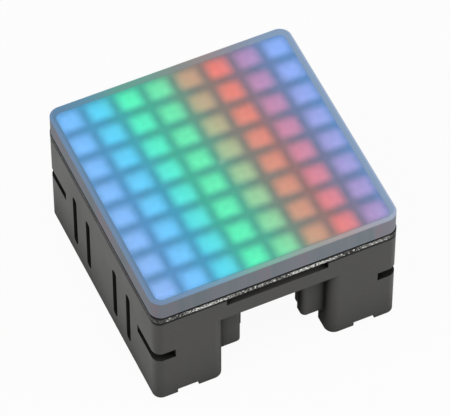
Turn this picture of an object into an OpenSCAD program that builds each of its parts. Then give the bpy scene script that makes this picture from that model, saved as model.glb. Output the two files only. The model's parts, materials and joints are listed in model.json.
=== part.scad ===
// Square RGB LED matrix panel: eight by eight LEDs under a frosted cap,
// on a moulded base that is open underneath.
// Millimetres. The origin is the centre of the footprint on the floor,
// +Z is up, and the front of the base looks along -Y.

/* [LED matrix] */
// Distance from one LED to the next
led_pitch = 7.5; // [7:0.1:9]
// Side of a square LED package
led_w = 5; // [4:0.1:5.2]
// Height of an LED package
led_h = 1.6; // [0.8:0.1:2]
// Diameter of the round resin window in an LED package
led_window_d = 4; // [2.5:0.1:4.2]
// Air left round each LED inside its cell of the light grid
cell_gap = 0.2; // [0.1:0.05:0.4]

/* [Diffuser cap] */
// How far the cap reaches past the outer cells on each side
cap_rim = 0.6; // [0.3:0.1:2]
// Full height of the cap
cap_h = 5.9; // [5:0.1:10]
// Thickness of the cap's top plate
cap_plate_t = 1.8; // [1.5:0.1:3]
// Thickness of the cap's skirt
cap_skirt_t = 1.3; // [0.8:0.1:1.4]
// Radius of the cap's upright corners
cap_corner_r = 3; // [2:0.5:8]
// Bevel along the cap's top edge
cap_bevel = 0.6; // [0.3:0.1:1.2]
// Thickness of the diffusing film under the top plate
film_t = 0.3; // [0.1:0.05:0.5]
// Play between the film and the top plate above it
film_gap = 0.1; // [0.05:0.05:0.3]
// Thickness of the adhesive frame under the cap
adhesive_t = 0.4; // [0.2:0.1:1]
// How far the adhesive frame stands back from the cap's side
adhesive_inset = 0.4; // [0.2:0.1:0.7]

/* [LED board] */
// How far the board reaches past the outer cells on each side
board_rim = 0.6; // [0.2:0.1:2]
// Thickness of the board
board_t = 1.6; // [0.8:0.1:2.4]
// Radius of the board's corners
board_corner_r = 2.5; // [1:0.5:5]

/* [Base housing] */
// Height of the base, floor to board
base_h = 29.3; // [26:0.1:45]
// Step from the board's edge in to the base's side
base_inset = 0.1; // [0:0.05:0.5]
// Radius of the base's upright corners
base_corner_r = 2.2; // [1:0.1:2.4]
// Thickness of the left and right walls
side_t = 2.5; // [1.5:0.1:4]
// Thickness of the front and rear walls
skin_t = 2.8; // [2.6:0.1:4]

/* [Doorway] */
// Width of the doorway between the columns
door_w = 26.4; // [22:0.2:30]
// Height of the beam between the doorway and the connector slot above it
beam_h = 4.75; // [3:0.05:8]
// Radius of the doorway's upright edges
door_edge_r = 2.5; // [0.5:0.1:2.5]
// Thickness of the set-back jambs behind the front and rear walls
jamb_t = 2.8; // [1.5:0.1:4]
// Clear width between the jambs
jamb_gap = 15.4; // [12:0.2:20]
// Height of the jambs' lower edge above the floor
jamb_clear_h = 7.1; // [4:0.1:9]
// Radius of the jambs' free edges
jamb_edge_r = 1.2; // [0.4:0.1:1.4]
// How far each jamb laps behind its column
jamb_lap = 3; // [1.5:0.1:4]
// How far the guide lip reaches past a jamb's free edge
lip_w = 0.6; // [0.4:0.1:1.5]
// Thickness of the guide lip at the back of the jamb
lip_t = 1; // [0.6:0.1:1.4]
// Height of the guide lip's lower end above the floor
lip_clear_h = 11; // [9.2:0.1:14]

/* [Slots and feet] */
// Width of a vent slot in the side walls
vent_w = 2.2; // [1:0.1:4]
// Height of a vent slot
vent_h = 17.1; // [10:0.5:20]
// Height of the vent slots' lower end above the floor
vent_z = 4.5; // [3:0.1:6]
// Distance from one vent slot to the next
vent_pitch = 7.6; // [5:0.1:8]
// Height of the slots that wrap round the corners
corner_slot_h = 2.7; // [1.5:0.1:4]
// Height of the corner slots above the floor
corner_slot_z = 14.6; // [10:0.1:17]
// Length of a corner slot along the front or rear wall
corner_slot_front = 5.1; // [3:0.1:8]
// Length of a corner slot along a side wall
corner_slot_side = 10; // [4:0.1:12]
// Distance from the corner to the notch between the feet
foot_w = 5.5; // [3:0.1:7]
// Width of the notch between the feet
foot_notch_w = 5.3; // [2:0.1:7]
// Height of the notch between the feet
foot_notch_h = 1.2; // [0.5:0.1:3]

/* [Connectors] */
// Number of contacts in a connector
contact_count = 9; // [4:1:10]
// Distance from one contact to the next
contact_pitch = 2.54; // [1.5:0.01:2.54]
// Width and height of a contact
contact_w = 0.5; // [0.3:0.05:0.6]
// Connector body beyond its outer contacts on each side
connector_end = 2.1; // [1.5:0.1:4]
// Height of a connector
connector_h = 2.2; // [2:0.1:4]
// Depth of a connector
connector_d = 5.5; // [4:0.1:8]
// How far a connector stands back from the face of the wall
connector_setback = 1.4; // [0.5:0.1:3]
// Wall of a connector's body
connector_wall = 0.5; // [0.3:0.05:0.6]
// Clearance between a connector and its slot in the wall
connector_gap = 0.4; // [0.2:0.05:0.8]
// Clearance between a connector and the rail below it
rail_gap = 0.15; // [0.1:0.05:0.4]

/* [Board fixing] */
// Height of the standoffs under the board
standoff_h = 5; // [4.6:0.1:7]
// Outer diameter of a standoff
standoff_d = 5; // [4:0.1:6]
// Diameter of the screws
screw_d = 2.5; // [2:0.1:3]
// Length of the screws under the head
screw_l = 6; // [4:0.5:6.5]
// Diameter of a screw head
screw_head_d = 4.7; // [4:0.1:5.5]
// Height of a screw head
screw_head_h = 1.7; // [1:0.1:2.5]
// Clearance round a screw in its lug
screw_clearance = 0.2; // [0.1:0.05:0.4]
// Thickness of the lugs that the board is screwed to
lug_t = 2.2; // [1.5:0.1:3]
// Reach of a lug from the walls
lug_reach = 9; // [7:0.1:10]
// Radius of a lug's free corner
lug_corner_r = 2; // [0.5:0.1:3]

/* [Parts under the board] */
// Side of the control chip
chip_w = 7; // [4:0.5:9]
// Height of the control chip
chip_h = 0.9; // [0.6:0.1:2]
// Length of the voltage regulator
regulator_l = 6.5; // [4:0.1:7]
// Width of the voltage regulator
regulator_w = 3.5; // [2.5:0.1:4]
// Height of the voltage regulator
regulator_h = 1.6; // [1:0.1:2.5]
// Diameter of a buffer capacitor's can
can_d = 6.3; // [4:0.1:6.6]
// Height of a buffer capacitor's can
can_h = 5.4; // [3:0.1:7]
// Depth of the crimped groove round a capacitor's can
can_groove = 0.3; // [0.1:0.05:0.5]
// Thickness of a buffer capacitor's seat
seat_t = 0.9; // [0.5:0.1:1.5]
// Length of a small chip capacitor or resistor
smd_l = 1.6; // [1:0.1:2]
// Width of a small chip capacitor or resistor
smd_w = 0.8; // [0.5:0.1:1.2]
// Height of a small chip capacitor or resistor
smd_h = 0.8; // [0.4:0.1:1.2]

/* [Hidden] */
$fn = 48;

// Rows and columns of LEDs
grid_n = 8;
// Overrun of a cutter past the face that it cuts
cut = 1;
// Slip fit between the cap and the parts inside it
slip = 0.1;

grid_w = grid_n * led_pitch;
cap_w = grid_w + 2 * cap_rim;
board_w = grid_w + 2 * board_rim;
base_w = board_w - 2 * base_inset;
cell_w = led_w + 2 * cell_gap;
cavity_w = cap_w - 2 * cap_skirt_t;

board_z = base_h;
board_top_z = board_z + board_t;
cap_z = board_top_z + adhesive_t;
plate_z = cap_z + cap_h - cap_plate_t;
film_z = plate_z - film_gap - film_t;

inner_x = base_w / 2 - side_t;
inner_y = base_w / 2 - skin_t;
connector_w = (contact_count - 1) * contact_pitch + 2 * connector_end;
rail_z = base_h - connector_h - rail_gap;
door_h = rail_z - beam_h;
lug_z = base_h - standoff_h - lug_t;
screw_x = inner_x - lug_reach / 2;
screw_y = inner_y - lug_reach / 2;
can_x = 2 * led_pitch;
can_y = led_pitch / 2;
seat_w = can_d + 0.3;
resistor_y = can_y + 0.4;

base_grey = "#4b4b49";
board_black = "#1d1e1d";
cap_frost = "#8b9099";
film_white = "#c9d3d8";
grid_grey = "#9aa0a6";
led_white = "#e9e7e0";
part_black = "#262626";
steel = "#b9bbbe";
brass = "#b59a55";
tin = "#c9c7bf";
ceramic_tan = "#a98d66";

// Children, and their mirror image left to right
module both_x() {
    children();
    mirror([1, 0, 0]) children();
}

// Children, and their mirror image front to rear
module both_y() {
    children();
    mirror([0, 1, 0]) children();
}

module four_corners() {
    both_x() both_y() children();
}

// Square outline with round corners, centred
module rounded_square(w, r) {
    square([w - 2 * r, w], center = true);
    square([w, w - 2 * r], center = true);
    for (sx = [-1, 1], sy = [-1, 1])
        translate([sx * (w / 2 - r), sy * (w / 2 - r)]) circle(r);
}

// What is left of a square of side r beside a quarter circle: it rounds an edge when cut away
module edge_cutter(r) {
    difference() {
        translate([-cut, -cut]) square(r + cut);
        translate([r, r]) circle(r);
        translate([-cut, r]) square([cut, cut]);
    }
}

// Plan of the doorway in the front wall, with its outer edges rounded
module doorway_plan() {
    translate([-door_w / 2, -base_w / 2 - cut]) square([door_w, skin_t + cut]);
    both_x() translate([door_w / 2, -base_w / 2]) edge_cutter(door_edge_r);
}

// Plan of what stands behind the front wall on the right: a jamb with its
// free edge rounded, its lap behind the column, and the guide lip
module jamb_plan() {
    translate([jamb_gap / 2, -inner_y]) {
        difference() {
            translate([0, -cut]) square([(door_w - jamb_gap) / 2 + jamb_lap, jamb_t + cut]);
            edge_cutter(jamb_edge_r);
        }
        translate([-lip_w, jamb_t - lip_t]) square([lip_w + jamb_edge_r, lip_t]);
    }
}

// Space inside the base, all but the lugs
module bay() {
    jamb_depth = jamb_t + 2 * cut;
    translate([0, 0, -cut]) linear_extrude(base_h + 2 * cut) difference() {
        square([2 * inner_x, 2 * inner_y], center = true);
        both_x() both_y() jamb_plan();
    }
    translate([-inner_x, -inner_y, rail_z]) cube([2 * inner_x, 2 * inner_y, base_h]);
    both_y() {
        translate([-door_w / 2, -inner_y - cut, -cut]) cube([door_w, jamb_depth, jamb_clear_h + cut]);
        translate([-jamb_gap / 2, -inner_y - cut, -cut]) cube([jamb_gap, jamb_depth, lip_clear_h + cut]);
    }
}

// Lug in a corner of the base that carries one screw, its free corner rounded
module lug() {
    difference() {
        translate([inner_x - lug_reach, inner_y - lug_reach, lug_z]) linear_extrude(lug_t) {
            translate([lug_corner_r, lug_corner_r]) circle(lug_corner_r);
            translate([lug_corner_r, 0]) square([lug_reach - lug_corner_r + side_t / 2, lug_reach + skin_t / 2]);
            translate([0, lug_corner_r]) square([lug_reach + side_t / 2, lug_reach - lug_corner_r + skin_t / 2]);
        }
        translate([screw_x, screw_y, lug_z - cut]) cylinder(h = lug_t + 2 * cut, d = screw_d + 2 * screw_clearance);
    }
}

// Upright slot with round ends through the right wall, at the given place along it
module vent_slot(y) {
    translate([base_w / 2 - side_t - cut, y, vent_z + vent_w / 2]) rotate([0, 90, 0]) {
        for (rise = [0, vent_h - vent_w])
            translate([-rise, 0, 0]) cylinder(h = side_t + 2 * cut, d = vent_w);
        translate([-(vent_h - vent_w), -vent_w / 2, 0]) cube([vent_h - vent_w, vent_w, side_t + 2 * cut]);
    }
}

// Slot that wraps round one upright corner and opens into the base
module corner_slot() {
    half = base_w / 2;
    translate([half - corner_slot_front, half - skin_t, corner_slot_z])
        cube([corner_slot_front + cut, skin_t + cut, corner_slot_h]);
    translate([half - side_t, half - corner_slot_side, corner_slot_z])
        cube([side_t + cut, corner_slot_side + cut, corner_slot_h]);
}

// Notch in the lower edge of a column, between its two feet
module foot_notch() {
    translate([base_w / 2 - foot_w - foot_notch_w, -base_w / 2 - cut, -cut])
        cube([foot_notch_w, skin_t + cut, foot_notch_h + cut]);
}

module base_housing() {
    slot_w = connector_w + 2 * connector_gap;
    color(base_grey) {
        difference() {
            linear_extrude(base_h) rounded_square(base_w, base_corner_r);
            bay();
            both_y() {
                translate([0, 0, -cut]) linear_extrude(door_h + cut) doorway_plan();
                translate([-slot_w / 2, -base_w / 2 - cut, rail_z]) cube([slot_w, skin_t + 2 * cut, base_h]);
            }
            four_corners() {
                corner_slot();
                foot_notch();
                for (k = [1, 2]) vent_slot(k * vent_pitch);
            }
        }
        four_corners() lug();
    }
}

// Pan head screw, its head under the lug and its shank in the standoff
module board_screw() {
    recess_w = 0.6;
    translate([screw_x, screw_y, lug_z]) {
        cylinder(h = screw_l, d = screw_d - slip);
        difference() {
            mirror([0, 0, 1]) rotate_extrude() intersection() {
                square([screw_head_d / 2, screw_head_h]);
                translate([0, screw_head_h - screw_head_d]) circle(screw_head_d);
            }
            for (turn = [0, 90])
                rotate([0, 0, turn]) translate([0, 0, -screw_head_h])
                    cube([screw_head_d / 2, recess_w, screw_head_h], center = true);
        }
    }
}

module board_screws() {
    color(steel) four_corners() board_screw();
}

module board_standoffs() {
    color(brass) four_corners() translate([screw_x, screw_y, base_h - standoff_h]) difference() {
        cylinder(h = standoff_h, d = standoff_d);
        translate([0, 0, -cut]) cylinder(h = standoff_h + 2 * cut, d = screw_d);
    }
}

module led_board() {
    color(board_black) translate([0, 0, board_z]) linear_extrude(board_t) rounded_square(board_w, board_corner_r);
}

module adhesive_frame() {
    outer_w = cap_w - 2 * adhesive_inset;
    color(part_black) translate([0, 0, board_top_z]) linear_extrude(adhesive_t) difference() {
        rounded_square(outer_w, cap_corner_r - adhesive_inset);
        rounded_square(cavity_w, cap_corner_r - cap_skirt_t);
    }
}

// Lattice between the LEDs, from the board up to the film
module light_grid() {
    wall = led_pitch - cell_w;
    length = cavity_w - 2 * slip;
    color(grid_grey) translate([0, 0, board_top_z]) for (i = [1 : grid_n - 1]) {
        at = (i - grid_n / 2) * led_pitch;
        translate([at - wall / 2, -length / 2, 0]) cube([wall, length, film_z - board_top_z]);
        translate([-length / 2, at - wall / 2, 0]) cube([length, wall, film_z - board_top_z]);
    }
}

module diffuser_film() {
    color(film_white) translate([0, 0, film_z]) linear_extrude(film_t)
        rounded_square(cavity_w - 2 * slip, cap_corner_r - cap_skirt_t);
}

// Bar across the cap, in the length between two round corners, with both long
// top edges bevelled
module bevelled_bar() {
    half = cap_w / 2;
    straight = cap_w - 2 * cap_corner_r;
    rotate([90, 0, 0]) linear_extrude(straight, center = true) polygon([
        [-half, 0], [half, 0], [half, cap_h - cap_bevel], [half - cap_bevel, cap_h],
        [-half + cap_bevel, cap_h], [-half, cap_h - cap_bevel]
    ]);
}

// Round corner of the cap, bevelled at the top
module bevelled_corner() {
    translate([cap_w / 2 - cap_corner_r, cap_w / 2 - cap_corner_r, 0]) {
        cylinder(h = cap_h - cap_bevel, r = cap_corner_r);
        translate([0, 0, cap_h - cap_bevel])
            cylinder(h = cap_bevel, r1 = cap_corner_r, r2 = cap_corner_r - cap_bevel);
    }
}

module diffuser_cap() {
    color(cap_frost) translate([0, 0, cap_z]) difference() {
        union() {
            for (turn = [0, 90]) rotate([0, 0, turn]) bevelled_bar();
            four_corners() bevelled_corner();
        }
        translate([0, 0, -cut]) linear_extrude(cap_h - cap_plate_t + cut)
            rounded_square(cavity_w, cap_corner_r - cap_skirt_t);
    }
}

// Square LED package with a round window and one corner cut off as its mark
module led_package() {
    window_depth = 0.3;
    mark = 0.7;
    difference() {
        translate([-led_w / 2, -led_w / 2, 0]) cube([led_w, led_w, led_h]);
        translate([0, 0, led_h - window_depth]) cylinder(h = window_depth + cut, d = led_window_d, $fn = 32);
        translate([led_w / 2, led_w / 2, led_h]) rotate([0, 0, 45])
            cube([mark, 2 * mark, led_h], center = true);
    }
}

// Row of LEDs, counted from the front
module led_row(row) {
    color(led_white) for (column = [1 : grid_n])
        translate([(column - (grid_n + 1) / 2) * led_pitch, (row - (grid_n + 1) / 2) * led_pitch, board_top_z])
            led_package();
}

// Side view of one contact: blade, rise and foot under the board
module contact_profile() {
    blade_z = (connector_h - contact_w) / 2;
    foot_l = 1.2;
    translate([connector_wall, blade_z]) square([connector_d, contact_w]);
    translate([connector_d + connector_wall - contact_w, blade_z]) square([contact_w, connector_h - blade_z]);
    translate([connector_d + connector_wall - contact_w, connector_h - contact_w]) square([foot_l, contact_w]);
}

module contacts() {
    translate([0, -base_w / 2 + connector_setback, base_h - connector_h])
        for (i = [0 : contact_count - 1])
            translate([(i - (contact_count - 1) / 2) * contact_pitch - contact_w / 2, 0, 0])
                rotate([90, 0, 90]) linear_extrude(contact_w) contact_profile();
}

// Flat side-entry connector behind the slot in the front wall
module connector() {
    mouth_w = connector_w - 2 * connector_wall;
    mouth_h = connector_h - 2 * connector_wall;
    rear_wall = 1.5;
    difference() {
        translate([-connector_w / 2, -base_w / 2 + connector_setback, base_h - connector_h]) difference() {
            cube([connector_w, connector_d, connector_h]);
            translate([connector_wall, -cut, connector_wall]) cube([mouth_w, connector_d - rear_wall + cut, mouth_h]);
        }
        contacts();
    }
}

module front_connector() {
    color(part_black) connector();
}

module rear_connector() {
    color(part_black) mirror([0, 1, 0]) connector();
}

module front_contacts() {
    color(tin) contacts();
}

module rear_contacts() {
    color(tin) mirror([0, 1, 0]) contacts();
}

module control_chip() {
    color(part_black) translate([-chip_w / 2, -chip_w / 2, base_h - chip_h]) cube([chip_w, chip_w, chip_h]);
}

module regulator_chip() {
    color(part_black) translate([can_x - regulator_l / 2, -regulator_w / 2, base_h - regulator_h])
        cube([regulator_l, regulator_w, regulator_h]);
}

// Small chip part under the board
module smd_chip(x, y) {
    translate([x - smd_l / 2, y - smd_w / 2, base_h - smd_h]) cube([smd_l, smd_w, smd_h]);
}

// One capacitor for every two LEDs
module decoupling_capacitors() {
    color(ceramic_tan) for (column = [1 : grid_n], k = [-2, -1, 1, 2])
        smd_chip((column - (grid_n + 1) / 2) * led_pitch, k * led_pitch);
}

module signal_resistors() {
    color(part_black) both_x() both_y() smd_chip(led_pitch, resistor_y);
}

module capacitor_seats() {
    color(part_black) for (y = [-can_y, can_y])
        translate([-can_x - seat_w / 2, y - seat_w / 2, base_h - seat_t]) cube([seat_w, seat_w, seat_t]);
}

// Half section of a capacitor's can that hangs from its seat: bevelled closed
// end, and a groove where the can is crimped round its rubber plug
module can_profile() {
    r = can_d / 2;
    crimp = can_h - 3 * can_groove;
    polygon([
        [0, 0], [r - can_groove, 0], [r, can_groove], [r, crimp - can_groove], [r - can_groove, crimp],
        [r, crimp + can_groove], [r, can_h], [0, can_h]
    ]);
}

module capacitor_cans() {
    color(tin) for (y = [-can_y, can_y])
        translate([-can_x, y, base_h - seat_t - can_h]) rotate_extrude() can_profile();
}

base_housing();
board_screws();
board_standoffs();
led_board();
adhesive_frame();
light_grid();
diffuser_film();
diffuser_cap();
for (row = [1 : grid_n])
    led_row(row);
front_connector();
front_contacts();
rear_connector();
rear_contacts();
control_chip();
regulator_chip();
decoupling_capacitors();
signal_resistors();
capacitor_seats();
capacitor_cans();
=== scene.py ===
# Studio scene of a lit RGB LED matrix panel: 64 LEDs under a frosted cap, on a
# moulded base. Lengths are in metres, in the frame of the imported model.
import json
import math

import bpy
from mathutils import Matrix, Vector


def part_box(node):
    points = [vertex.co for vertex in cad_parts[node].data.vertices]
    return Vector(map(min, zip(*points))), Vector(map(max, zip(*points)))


MM = 0.001
GRID_N = 8
PITCH = 7.5 * MM
# Where the LED sits in its cell, counted in cells
CELL_MIDDLE = 0.5

# The camera: a long lens that looks down on the front left corner
VIEW_AZIMUTH = math.radians(24.59)
VIEW_ELEVATION = math.radians(53.2)
VIEW_ROLL = math.radians(-0.09)
VIEW_TARGET = Vector((0.87, 0.04, 19.0)) * MM
VIEW_DISTANCE = 965.2 * MM
LENS_MM = 333.4
SENSOR_MM = 36.0

# Soft square lamps: name, place, side and power in watts
LAMPS = [
    ("key_left", (-0.55, -0.05, 0.55), 0.5, 2.6),
    ("fill_front", (0.42, -0.34, 0.24), 0.4, 1.5),
    ("top", (0.15, -0.35, 0.85), 0.6, 1.5),
]
LAMP_AIM = (0.0, 0.0, 0.02)
WORLD_STRENGTH = 0.18
# How white the paper is where it is seen directly or in a reflection
PAPER_WHITENESS = 0.95

# Hues that the display runs through, each with the LED column where it sits in
# the rear row. Towards the front row the whole sweep drifts to the right.
HUES = [
    (-1.0, "#8cb4f0"),
    (0.0, "#74bdfc"),
    (1.0, "#50d2f2"),
    (2.0, "#4cf4b8"),
    (3.0, "#68e6a8"),
    (4.0, "#c09c7c"),
    (5.0, "#ee7a6e"),
    (6.0, "#b088b8"),
    (7.0, "#88aef6"),
]
DRIFT = 0.85
# The light spot of a cell: half its size as a share of the pitch, its fade as a
# share of that half, how square it is, and how far it sits off the cell's middle
SPOT_HALF_X = 0.347
SPOT_HALF_Y = 0.324
SPOT_FADE = 0.58
SPOT_SQUARENESS = 4.2
SPOT_SHIFT = Vector((-0.26, -0.26, 0.0)) * MM
# How much a spot takes of its neighbours' colours
SPOT_BLEND = 0.3
# How bright a spot is at the front of its cell, and what it has lost at the rear
SPOT_FRONT = 1.12
SPOT_LOSS = 0.24
# What reaches the places between the spots: a share of the light beside them,
# and the mixed light of all the LEDs
STRAY_SHARE = (0.33, 0.37, 0.47)
STRAY_MIX = "#104a44"
# Painted light in the cap's rim: a share of the stray light, and a grey light that is
# dimmer on its left side than on its right side, inside the walls and on the bevel
RIM_STRAY = 0.55
WALL_LIGHT_GREYS = "#4e5557", "#7c8386"
BEVEL_LIGHT_GREYS = "#515355", "#898b8d"
# The clear area over the film: its distance to the film's edge, its corner radius
FILM_MARGIN = 0.12 * MM
FILM_CORNER = 1.6 * MM

IOR_ABS = 1.53
IOR_LAMINATE = 1.5
IOR_POLYCARBONATE = 1.58
IOR_ACRYLIC = 1.49
BLACK = (0.0, 0.0, 0.0, 1.0)
WHITE = (1.0, 1.0, 1.0, 1.0)

# Sockets of a Mix node, whose names are the same for values and colours
FACTOR, VALUE_A, VALUE_B, COLOUR_A, COLOUR_B = 0, 2, 3, 6, 7
VALUE_OUT, COLOUR_OUT = 0, 2


def linear(hex_colour):
    """Linear RGBA of an sRGB hex colour."""
    parts = [int(hex_colour[i : i + 2], 16) / 255 for i in (1, 3, 5)]
    return tuple(c / 12.92 if c <= 0.04045 else ((c + 0.055) / 1.055) ** 2.4 for c in parts) + (1.0,)


def add(tree, kind, inputs=None, stops=None, **settings):
    """Adds a node with its settings, its inputs as values or linked sockets, and a
    ramp's stops. A ramp starts with two stops, so the first two given are its ends."""
    node = tree.nodes.new("ShaderNode" + kind)
    for name, value in settings.items():
        setattr(node, name, value)
    for key, value in (inputs or {}).items():
        if isinstance(value, bpy.types.NodeSocket):
            tree.links.new(value, node.inputs[key])
        else:
            node.inputs[key].default_value = value
    for i, (position, colour) in enumerate(stops or []):
        element = node.color_ramp.elements[i] if i < 2 else node.color_ramp.elements.new(position)
        element.position = position
        element.color = colour
    return node


def finish_of(name, build):
    """A material whose build function sets the inputs of its Principled shader."""
    material = bpy.data.materials.new(name)
    material.use_nodes = True
    tree = material.node_tree
    shader = tree.nodes["Principled BSDF"]
    for key, value in build(tree).items():
        if isinstance(value, bpy.types.NodeSocket):
            tree.links.new(value, shader.inputs[key])
        else:
            shader.inputs[key].default_value = value
    return material


def spark_grained_abs(tree):
    """Injection moulded ABS, dark warm grey. Its spark-eroded mould leaves a fine
    grain that breaks the highlight up, and slow changes of sheen between walls."""
    place = add(tree, "TexCoord").outputs["Object"]
    grain = add(tree, "TexNoise", {"Vector": place, "Scale": 1 / (0.45 * MM), "Detail": 3.0,
                                   "Roughness": 0.6})
    flow = add(tree, "TexNoise", {"Vector": place, "Scale": 1 / (16 * MM), "Detail": 2.0})
    tone = add(tree, "ValToRGB", {"Fac": flow.outputs["Fac"]},
               stops=[(0.3, linear("#3e3e3c")), (0.7, linear("#464543"))])
    speck = add(tree, "MapRange", {"Value": grain.outputs["Fac"], "From Min": 0.3, "From Max": 0.7,
                                   "To Min": 0.93, "To Max": 1.07})
    # Painted shade: the colour darkens in slots and recesses, the more the walls close round a place
    open_sky = add(tree, "AmbientOcclusion", {"Distance": 9 * MM}, only_local=True, samples=8)
    shade = add(tree, "MapRange", {"Value": open_sky.outputs["AO"], "From Min": 0.6,
                                   "From Max": 0.97, "To Min": 0.05, "To Max": 1.0})
    # Painted shade also darkens the top rim of the wall, as the shadow in the narrow gap under the
    # board
    top_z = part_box("base_housing")[1].z
    split = add(tree, "SeparateXYZ", {"Vector": place})
    joint_shade = add(tree, "MapRange", {"Value": split.outputs["Z"], "From Min": top_z - 0.85 * MM,
                                   "From Max": top_z - 0.5 * MM, "To Min": 1.0, "To Max": 0.1})
    # Both painted shades together: in slots, in recesses and under the board
    dark = add(tree, "Math", {0: joint_shade.outputs["Result"], 1: shade.outputs["Result"]},
               operation="MULTIPLY")
    level = add(tree, "Math", {0: speck.outputs["Result"], 1: dark.outputs["Value"]},
                operation="MULTIPLY")
    colour = add(tree, "VectorMath", {0: tone.outputs["Color"], "Scale": level.outputs["Value"]},
                 operation="SCALE")
    sheen = add(tree, "MapRange", {"Value": flow.outputs["Fac"], "From Min": 0.3, "From Max": 0.7,
                                   "To Min": 0.42, "To Max": 0.52})
    # Where shade is painted the surface is made rough, so there is no sheen there either
    dull = add(tree, "Mix", {FACTOR: dark.outputs["Value"], VALUE_A: 0.95,
                             VALUE_B: sheen.outputs["Result"]})
    bump = add(tree, "Bump", {"Height": grain.outputs["Fac"], "Strength": 0.25,
                              "Distance": 0.06 * MM})
    return {"Base Color": colour.outputs["Vector"], "Roughness": dull.outputs[VALUE_OUT],
            "IOR": IOR_ABS, "Specular IOR Level": 0.3, "Normal": bump.outputs["Normal"]}


def board_laminate(tree):
    """Glass-fibre laminate under black solder mask. Its front and rear edges are
    scored and snapped out of a larger sheet: the torn fibre glints there in a thin,
    broken, pale line. The routed left and right edges and the corners stay dark."""
    place = add(tree, "TexCoord").outputs["Object"]
    low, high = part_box("led_board")
    split = add(tree, "SeparateXYZ", {"Vector": place})
    # The bare core lies between the mask and copper of the two faces
    level = add(tree, "MapRange", {"Value": split.outputs["Z"], "From Min": low.z,
                                   "From Max": high.z})
    core = add(tree, "ValToRGB", {"Fac": level.outputs["Result"]},
               stops=[(0.06, BLACK), (0.84, BLACK), (0.18, WHITE), (0.7, WHITE)])
    out_x = add(tree, "Math", {0: split.outputs["X"]}, operation="ABSOLUTE")
    out_y = add(tree, "Math", {0: split.outputs["Y"]}, operation="ABSOLUTE")
    snapped = add(tree, "Math", {0: out_y.outputs["Value"], 1: high.y - 0.3 * MM},
                  operation="GREATER_THAN")
    straight = add(tree, "MapRange", {"Value": out_x.outputs["Value"], "From Min": high.x - 3.4 * MM,
                                      "From Max": high.x - 2.4 * MM, "To Min": 1.0, "To Max": 0.0})
    torn = add(tree, "Math", {0: snapped.outputs["Value"], 1: straight.outputs["Result"]},
               operation="MULTIPLY")
    bare = add(tree, "Math", {0: torn.outputs["Value"], 1: 0.88, 2: 0.12}, operation="MULTIPLY_ADD")
    shown = add(tree, "Math", {0: core.outputs["Color"], 1: bare.outputs["Value"]},
                operation="MULTIPLY")
    # Fibre ends, wider than they are thick, come out of the edge in patches
    laid = add(tree, "Mapping", {"Vector": place, "Scale": (1.0, 1.0, 1.6)})
    fibre = add(tree, "TexNoise", {"Vector": laid.outputs["Vector"], "Scale": 1 / (0.6 * MM),
                                   "Detail": 2.0, "Roughness": 0.7})
    patch = add(tree, "TexNoise", {"Vector": place, "Scale": 1 / (7 * MM), "Detail": 1.0})
    glint = add(tree, "Math", {0: patch.outputs["Fac"], 1: 0.3, 2: fibre.outputs["Fac"]},
                operation="MULTIPLY_ADD")
    fibres = add(tree, "ValToRGB", {"Fac": glint.outputs["Value"]},
                 stops=[(0.62, linear("#0e0e0e")), (0.72, linear("#fafaf6")),
                        (0.67, linear("#6c6c68"))])
    edge = add(tree, "Mix", {FACTOR: shown.outputs["Value"], COLOUR_A: linear("#0e0f0e"),
                             COLOUR_B: fibres.outputs["Color"]}, data_type="RGBA")
    return {"Base Color": edge.outputs[COLOUR_OUT], "Roughness": 0.7, "IOR": IOR_LAMINATE}


def place_in_cells(tree):
    """The place along X and along Y, counted in cells from the front left corner."""
    place = add(tree, "VectorMath", {0: add(tree, "TexCoord").outputs["Object"], 1: SPOT_SHIFT},
                operation="SUBTRACT")
    split = add(tree, "SeparateXYZ", {"Vector": place.outputs["Vector"]})
    cells = [add(tree, "Math", {0: split.outputs[axis], 1: 1 / PITCH, 2: GRID_N / 2},
                 operation="MULTIPLY_ADD") for axis in ("X", "Y")]
    return [cell.outputs["Value"] for cell in cells]


def hue_at(tree, column, row, offset):
    """Colour of the display at a column and a row, with an offset in columns."""
    first, last = HUES[0][0], HUES[-1][0]
    hues = [((at - first) / (last - first), linear(colour)) for at, colour in HUES]
    drift = add(tree, "Math", {0: row, 1: DRIFT / (GRID_N - 1), 2: offset - DRIFT},
                operation="MULTIPLY_ADD")
    hue = add(tree, "Math", {0: column, 1: drift.outputs["Value"]}, operation="ADD")
    share = add(tree, "MapRange", {"Value": hue.outputs["Value"], "From Min": first,
                                   "From Max": last})
    ramp = add(tree, "ValToRGB", {"Fac": share.outputs["Result"]},
               stops=[hues[0], hues[-1]] + hues[1:-1])
    return ramp.outputs["Color"]


def blended_hue(tree):
    """Colour of the display as it blends from the middle of one cell to the next."""
    # The first LED is half a cell in, and has the hue of column 0
    return hue_at(tree, *place_in_cells(tree), -CELL_MIDDLE)


def stray_light(tree):
    """The light between the spots: some of the colours beside it, and the mixed
    light of all the LEDs, a dim sea green."""
    near = add(tree, "VectorMath", {0: blended_hue(tree), 1: STRAY_SHARE}, operation="MULTIPLY")
    stray = add(tree, "VectorMath", {0: near.outputs["Vector"], 1: linear(STRAY_MIX)[:3]},
                operation="ADD")
    return stray.outputs["Vector"]


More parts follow.
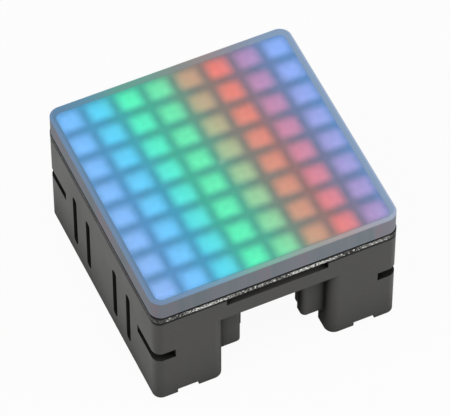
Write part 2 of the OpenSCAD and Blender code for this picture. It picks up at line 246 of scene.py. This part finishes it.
def spot_light(tree):
    """The light of a cell's own spot, and how much of that spot a place sees."""
    whole, parts, reach = [], [], []
    for cell, half in zip(place_in_cells(tree), (SPOT_HALF_X, SPOT_HALF_Y)):
        step = add(tree, "Math", {0: cell}, operation="FLOOR")
        part = add(tree, "Math", {0: cell}, operation="FRACT")
        far = add(tree, "Math", {0: part.outputs["Value"], 1: 1 / half, 2: -CELL_MIDDLE / half},
                  operation="MULTIPLY_ADD")
        away = add(tree, "Math", {0: far.outputs["Value"]}, operation="ABSOLUTE")
        steep = add(tree, "Math", {0: away.outputs["Value"], 1: SPOT_SQUARENESS}, operation="POWER")
        whole.append(step.outputs["Value"])
        parts.append(part.outputs["Value"])
        reach.append(steep.outputs["Value"])
    both = add(tree, "Math", {0: reach[0], 1: reach[1]}, operation="ADD")
    edge = add(tree, "Math", {0: both.outputs["Value"], 1: 1 / SPOT_SQUARENESS}, operation="POWER")
    lit = add(tree, "MapRange", {"Value": edge.outputs["Value"], "From Min": 1 - SPOT_FADE,
                                 "From Max": 1 + SPOT_FADE, "To Min": 1.0, "To Max": 0.0},
              interpolation_type="SMOOTHSTEP")
    own = add(tree, "Mix", {FACTOR: SPOT_BLEND, COLOUR_A: hue_at(tree, *whole, 0.0),
                            COLOUR_B: blended_hue(tree)}, data_type="RGBA")
    slope = add(tree, "Math", {0: parts[1], 1: -SPOT_LOSS, 2: SPOT_FRONT}, operation="MULTIPLY_ADD")
    spot = add(tree, "VectorMath", {0: own.outputs[COLOUR_OUT], "Scale": slope.outputs["Value"]},
               operation="SCALE")
    return spot.outputs["Vector"], lit.outputs["Result"]


def lit_film(tree):
    """Thin matt polycarbonate film lit from below. Each LED makes a soft square of
    its own colour, and the lattice between them only carries stray light."""
    spot, lit = spot_light(tree)
    glow = add(tree, "Mix", {FACTOR: lit, COLOUR_A: stray_light(tree), COLOUR_B: spot},
               data_type="RGBA")
    haze = add(tree, "TexNoise", {"Vector": add(tree, "TexCoord").outputs["Object"],
                                  "Scale": 1 / (0.7 * MM), "Detail": 2.0})
    cloud = add(tree, "MapRange", {"Value": haze.outputs["Fac"], "From Min": 0.3, "From Max": 0.7,
                                   "To Min": 1.16, "To Max": 1.32})
    return {"Base Color": linear("#30383a"), "Roughness": 0.6, "IOR": IOR_POLYCARBONATE,
            "Emission Color": glow.outputs[COLOUR_OUT], "Emission Strength": cloud.outputs["Result"]}


def rim_glow(tree, light_greys):
    """Painted light in the cap's rim: a share of the stray light at that place, and a
    grey light that grows from the left side to the right side."""
    low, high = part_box("diffuser_cap")
    split = add(tree, "SeparateXYZ", {"Vector": add(tree, "TexCoord").outputs["Object"]})
    across = add(tree, "MapRange", {"Value": split.outputs["X"], "From Min": low.x,
                                    "From Max": high.x})
    grey = add(tree, "Mix", {FACTOR: across.outputs["Result"], COLOUR_A: linear(light_greys[0]),
                             COLOUR_B: linear(light_greys[1])}, data_type="RGBA")
    part = add(tree, "VectorMath", {0: stray_light(tree), "Scale": RIM_STRAY}, operation="SCALE")
    glow = add(tree, "VectorMath", {0: part.outputs["Vector"], 1: grey.outputs[COLOUR_OUT]},
               operation="ADD")
    return glow.outputs["Vector"]


def foam_tape(tree):
    """Closed-cell foam tape: matt black, with open pores on its cut edge. Its top
    face shows through the cap, and gives back the light of the skirt on it."""
    top_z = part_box("adhesive_frame")[1].z
    split = add(tree, "SeparateXYZ", {"Vector": add(tree, "TexCoord").outputs["Object"]})
    top = add(tree, "Math", {0: split.outputs["Z"], 1: top_z - 0.02 * MM}, operation="GREATER_THAN")
    looks = plain_grain("#0b0b0c", "#17171a", 0.2 * MM, 0.85)(tree)
    looks["Emission Color"] = rim_glow(tree, WALL_LIGHT_GREYS)
    looks["Emission Strength"] = top.outputs["Value"]
    return looks


def clear_area(tree, place, height, top_z):
    """1 where the cap is clear: on its flat top, and on the inside of the top over
    the film and its rounded corners."""
    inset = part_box("diffuser_film")[1].x - FILM_MARGIN - FILM_CORNER
    mirrored = add(tree, "VectorMath", {0: place}, operation="ABSOLUTE")
    past = add(tree, "VectorMath", {0: mirrored.outputs["Vector"], 1: Vector((inset, inset, 1.0))},
               operation="SUBTRACT")
    beyond = add(tree, "VectorMath", {0: past.outputs["Vector"], 1: Vector((0.0, 0.0, 0.0))},
                 operation="MAXIMUM")
    reach = add(tree, "VectorMath", {0: beyond.outputs["Vector"]}, operation="LENGTH")
    over_film = add(tree, "Math", {0: reach.outputs["Value"], 1: FILM_CORNER},
                    operation="LESS_THAN")
    top = add(tree, "Math", {0: height, 1: top_z - 0.03 * MM}, operation="GREATER_THAN")
    clear = add(tree, "Math", {0: over_film.outputs["Value"], 1: top.outputs["Value"]},
                operation="MAXIMUM")
    return clear.outputs["Value"]


def frosted_acrylic(tree):
    """Frosted acrylic, slightly grey. Its matt top passes and scatters the light
    from below, the bevel catches some of it, and the sides look milky and nearly
    even, because light wanders about in the skirt before it comes out."""
    place = add(tree, "TexCoord").outputs["Object"]
    low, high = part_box("diffuser_cap")
    split = add(tree, "SeparateXYZ", {"Vector": place})
    clear = clear_area(tree, place, split.outputs["Z"], high.z)
    bevel = add(tree, "MapRange", {"Value": split.outputs["Z"], "From Min": high.z - 1.05 * MM,
                                   "From Max": high.z - 0.55 * MM})
    milk = add(tree, "Mix", {FACTOR: bevel.outputs["Result"], COLOUR_A: linear("#1a1c1e"),
                             COLOUR_B: linear("#2c2e31")}, data_type="RGBA")
    tint = add(tree, "Mix", {FACTOR: clear, COLOUR_A: milk.outputs[COLOUR_OUT],
                             COLOUR_B: linear("#eef1f4")}, data_type="RGBA")
    through = add(tree, "Math", {0: clear, 1: 0.985}, operation="MULTIPLY")
    # The skirt's glow has faint flow lines down the sides, and is a little dimmer
    # on the left
    drawn = add(tree, "Mapping", {"Vector": place, "Scale": (1.0, 1.0, 0.05)})
    flow = add(tree, "TexNoise", {"Vector": drawn.outputs["Vector"], "Scale": 1 / (3.2 * MM),
                                  "Detail": 2.0})
    side = add(tree, "ValToRGB", {"Fac": flow.outputs["Fac"]},
               stops=[(0.32, linear("#636c72")), (0.72, linear("#766a73")),
                      (0.5, linear("#6b6f77"))])
    level = add(tree, "MapRange", {"Value": split.outputs["X"], "From Min": low.x,
                                   "From Max": high.x, "To Min": 0.84, "To Max": 1.06})
    skirt = add(tree, "VectorMath", {0: side.outputs["Color"], "Scale": level.outputs["Result"]},
                operation="SCALE")
    outer = add(tree, "Mix", {FACTOR: bevel.outputs["Result"], COLOUR_A: skirt.outputs["Vector"],
                              COLOUR_B: rim_glow(tree, BEVEL_LIGHT_GREYS)}, data_type="RGBA")
    # Through the top one sees the walls from inside, lit by what strays into them
    within = add(tree, "NewGeometry").outputs["Backfacing"]
    milky = add(tree, "Mix", {FACTOR: within, COLOUR_A: outer.outputs[COLOUR_OUT],
                              COLOUR_B: rim_glow(tree, WALL_LIGHT_GREYS)}, data_type="RGBA")
    # Where the melt came in, a cloudy spot stayed in the middle of the top
    middle = add(tree, "VectorMath", {0: place, 1: Vector((0.0, 0.0, high.z))},
                 operation="DISTANCE")
    # Painted light: the spot is drawn as a faint glow, as the light from below that its cloud
    # scatters
    gate_glow = add(tree, "MapRange", {"Value": middle.outputs["Value"], "From Min": 0.3 * MM,
                                  "From Max": 1.4 * MM, "To Min": 0.1, "To Max": 0.0},
               interpolation_type="SMOOTHSTEP")
    glow = add(tree, "Mix", {FACTOR: clear, COLOUR_A: milky.outputs[COLOUR_OUT],
                             COLOUR_B: linear("#b8c0c0")}, data_type="RGBA")
    strength = add(tree, "Mix", {FACTOR: clear, VALUE_A: 1.0, VALUE_B: gate_glow.outputs["Result"]})
    grain = add(tree, "TexNoise", {"Vector": place, "Scale": 1 / (0.3 * MM), "Detail": 2.0})
    bump = add(tree, "Bump", {"Height": grain.outputs["Fac"], "Strength": 0.1,
                              "Distance": 0.03 * MM})
    matt = add(tree, "MapRange", {"Value": clear, "To Min": 0.8, "To Max": 0.24})
    return {"Base Color": tint.outputs[COLOUR_OUT], "Roughness": matt.outputs["Result"],
            "IOR": IOR_ACRYLIC, "Transmission Weight": through.outputs["Value"],
            "Emission Color": glow.outputs[COLOUR_OUT],
            "Emission Strength": strength.outputs[VALUE_OUT], "Normal": bump.outputs["Normal"]}


def plain_grain(colour, other, size, roughness, **extra):
    """Build function of a part with fine mottling between two colours at the given size."""
    def build(tree):
        noise = add(tree, "TexNoise", {"Vector": add(tree, "TexCoord").outputs["Object"],
                                       "Scale": 1 / size, "Detail": 3.0})
        tone = add(tree, "ValToRGB", {"Fac": noise.outputs["Fac"]},
                   stops=[(0.35, linear(colour)), (0.65, linear(other))])
        bump = add(tree, "Bump", {"Height": noise.outputs["Fac"], "Strength": 0.15,
                                  "Distance": 0.1 * size})
        sheen = add(tree, "MapRange", {"Value": noise.outputs["Fac"], "From Min": 0.3,
                                       "From Max": 0.7, "To Min": roughness - 0.06,
                                       "To Max": roughness + 0.06})
        return {"Base Color": tone.outputs["Color"], "Roughness": sheen.outputs["Result"],
                "Normal": bump.outputs["Normal"], **extra}
    return build


# What each of the record's material slots is made of
FINISHES = {
    "base_abs": ("spark_grained_abs", spark_grained_abs),
    "solder_mask": ("board_laminate", board_laminate),
    "film_polycarbonate": ("lit_film", lit_film),
    "cap_acrylic": ("frosted_acrylic", frosted_acrylic),
    # Zinc plated steel: bright and cool, with a faint cloudy passivation
    "screw_steel": ("zinc_plated_steel",
                    plain_grain("#b9bdc2", "#a8adb4", 0.6 * MM, 0.34, Metallic=1.0)),
    # Turned brass: warm and bright, its highlight slightly uneven
    "standoff_brass": ("turned_brass",
                       plain_grain("#c9aa63", "#b8964e", 0.4 * MM, 0.3, Metallic=1.0)),
    "adhesive_foam": ("foam_tape", foam_tape),
    # White moulded polycarbonate of the lattice: satin, with a faint mottle
    "grid_plastic": ("lattice_polycarbonate", plain_grain("#c8ccd0", "#d6dade", 0.8 * MM, 0.5)),
    # White reflector plastic round an LED's window: warm white and smooth
    "led_package": ("led_reflector_plastic", plain_grain("#e9e6dc", "#f2f0e8", 0.5 * MM, 0.35)),
    # Glass-filled nylon of the connectors and capacitor seats: near black and dull
    "connector_plastic": ("glass_filled_nylon",
                          plain_grain("#141414", "#1d1d1d", 0.3 * MM, 0.55)),
    # Bright tin on copper alloy: pale, a soft mirror
    "contact_tin": ("bright_tin",
                    plain_grain("#cfccc4", "#bdbab2", 0.4 * MM, 0.28, Metallic=1.0)),
    # Chip moulding compound, matt and faintly gritty
    "chip_epoxy": ("moulding_compound", plain_grain("#1b1b1c", "#262627", 0.25 * MM, 0.6)),
    # Fired ceramic of the small capacitors: sandy brown and half matt
    "chip_ceramic": ("fired_ceramic", plain_grain("#a07c55", "#b18e66", 0.3 * MM, 0.45)),
    # Glazed resistor body: black and glossy
    "chip_resistor": ("resistor_glaze", plain_grain("#17181b", "#202126", 0.3 * MM, 0.25)),
    # Drawn aluminium can: pale and bright, faintly cloudy
    "can_aluminium": ("drawn_aluminium",
                      plain_grain("#c6c8ca", "#b4b7ba", 0.5 * MM, 0.3, Metallic=1.0)),
}


def paint_nodes(frame):
    """Gives every CAD node the material of its slot."""
    made = {slot: finish_of(*finish) for slot, finish in FINISHES.items()}
    for part in frame["record"]["subparts"]:
        mesh = frame["nodes"][part["node"]].data
        mesh.materials.clear()
        mesh.materials.append(made[part["material_slot"]])


def make_camera():
    """The long lens, aimed at the middle of the view."""
    forward = Vector((
        math.sin(VIEW_AZIMUTH) * math.cos(VIEW_ELEVATION),
        math.cos(VIEW_AZIMUTH) * math.cos(VIEW_ELEVATION),
        -math.sin(VIEW_ELEVATION),
    ))
    data = bpy.data.cameras.new("photo_camera")
    data.lens = LENS_MM
    data.sensor_width = SENSOR_MM
    data.clip_start = 0.05
    camera = bpy.data.objects.new("photo_camera", data)
    camera.location = VIEW_TARGET - forward * VIEW_DISTANCE
    turn = forward.to_track_quat("-Z", "Y").to_matrix().to_4x4()
    camera.rotation_euler = (turn @ Matrix.Rotation(VIEW_ROLL, 4, "Z")).to_euler()
    bpy.context.scene.collection.objects.link(camera)
    bpy.context.scene.camera = camera


def make_lamp(name, place, side, power):
    """Soft square lamp that faces the object."""
    data = bpy.data.lights.new(name, "AREA")
    data.shape = "SQUARE"
    data.size = side
    data.energy = power
    lamp = bpy.data.objects.new(name, data)
    lamp.location = place
    lamp.rotation_euler = (Vector(LAMP_AIM) - Vector(place)).to_track_quat("-Z", "Y").to_euler()
    bpy.context.scene.collection.objects.link(lamp)


def make_world():
    """Even pale surroundings."""
    world = bpy.data.worlds.new("studio")
    bpy.context.scene.world = world
    world.use_nodes = True
    background = world.node_tree.nodes["Background"]
    background.inputs["Color"].default_value = WHITE
    background.inputs["Strength"].default_value = WORLD_STRENGTH


def make_floor():
    """White studio paper. Seen directly or in a reflection it is close to white,
    and it still darkens under the object."""
    bpy.ops.mesh.primitive_plane_add(size=4.0)
    floor = bpy.context.object
    floor.name = "studio_floor"
    material = bpy.data.materials.new("studio_paper")
    material.use_nodes = True
    tree = material.node_tree
    paper = tree.nodes["Principled BSDF"]
    paper.inputs["Roughness"].default_value = 0.9
    paper.inputs["Specular IOR Level"].default_value = 0.0
    place = add(tree, "TexCoord").outputs["Object"]
    fibre = add(tree, "TexNoise", {"Vector": place, "Scale": 1 / (2 * MM), "Detail": 2.0})
    tone = add(tree, "ValToRGB", {"Fac": fibre.outputs["Fac"]},
               stops=[(0.3, linear("#e6e6e6")), (0.7, linear("#eaeaea"))])
    # Painted shade: under the object the paper's colour is darkened, and the slots mirror none of it
    split = add(tree, "SeparateXYZ", {"Vector": place})
    out_x = add(tree, "Math", {0: split.outputs["X"]}, operation="ABSOLUTE")
    out_y = add(tree, "Math", {0: split.outputs["Y"]}, operation="ABSOLUTE")
    out = add(tree, "Math", {0: out_x.outputs["Value"], 1: out_y.outputs["Value"]},
              operation="MAXIMUM")
    clear_of_it = add(tree, "MapRange", {"Value": out.outputs["Value"], "From Min": 30 * MM,
                                         "From Max": 40 * MM})
    under_shade = add(tree, "MapRange", {"Value": out.outputs["Value"], "From Min": 20 * MM,
                                     "From Max": 34 * MM, "To Min": 0.1, "To Max": 1.0})
    shaded = add(tree, "VectorMath", {0: tone.outputs["Color"], "Scale": under_shade.outputs["Result"]},
                 operation="SCALE")
    tree.links.new(shaded.outputs["Vector"], paper.inputs["Base Color"])
    rays = add(tree, "LightPath")
    bounced = add(tree, "Math", {0: rays.outputs["Is Glossy Ray"],
                                 1: rays.outputs["Is Transmission Ray"]}, operation="MAXIMUM")
    mirrored = add(tree, "Math", {0: bounced.outputs["Value"], 1: clear_of_it.outputs["Result"]},
                   operation="MULTIPLY")
    seen = add(tree, "Math", {0: rays.outputs["Is Camera Ray"], 1: mirrored.outputs["Value"]},
               operation="MAXIMUM")
    share = add(tree, "Math", {0: seen.outputs["Value"], 1: PAPER_WHITENESS}, operation="MULTIPLY")
    white = add(tree, "Emission", {"Color": WHITE, "Strength": 1.0})
    mixed = add(tree, "MixShader", {0: share.outputs["Value"], 1: paper.outputs["BSDF"],
                                    2: white.outputs["Emission"]})
    tree.links.new(mixed.outputs["Shader"], tree.nodes["Material Output"].inputs["Surface"])
    floor.data.materials.append(material)


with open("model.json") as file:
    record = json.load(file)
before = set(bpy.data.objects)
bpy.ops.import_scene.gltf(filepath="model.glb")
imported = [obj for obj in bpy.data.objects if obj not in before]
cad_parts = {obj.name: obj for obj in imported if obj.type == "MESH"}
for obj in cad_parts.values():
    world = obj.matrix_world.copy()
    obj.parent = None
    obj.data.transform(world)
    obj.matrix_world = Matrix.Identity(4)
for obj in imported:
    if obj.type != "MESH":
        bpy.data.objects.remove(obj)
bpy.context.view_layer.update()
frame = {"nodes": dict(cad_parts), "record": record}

make_camera()
make_world()
for lamp in LAMPS:
    make_lamp(*lamp)
make_floor()
paint_nodes(frame)

bpy.context.scene.view_settings.view_transform = "Standard"
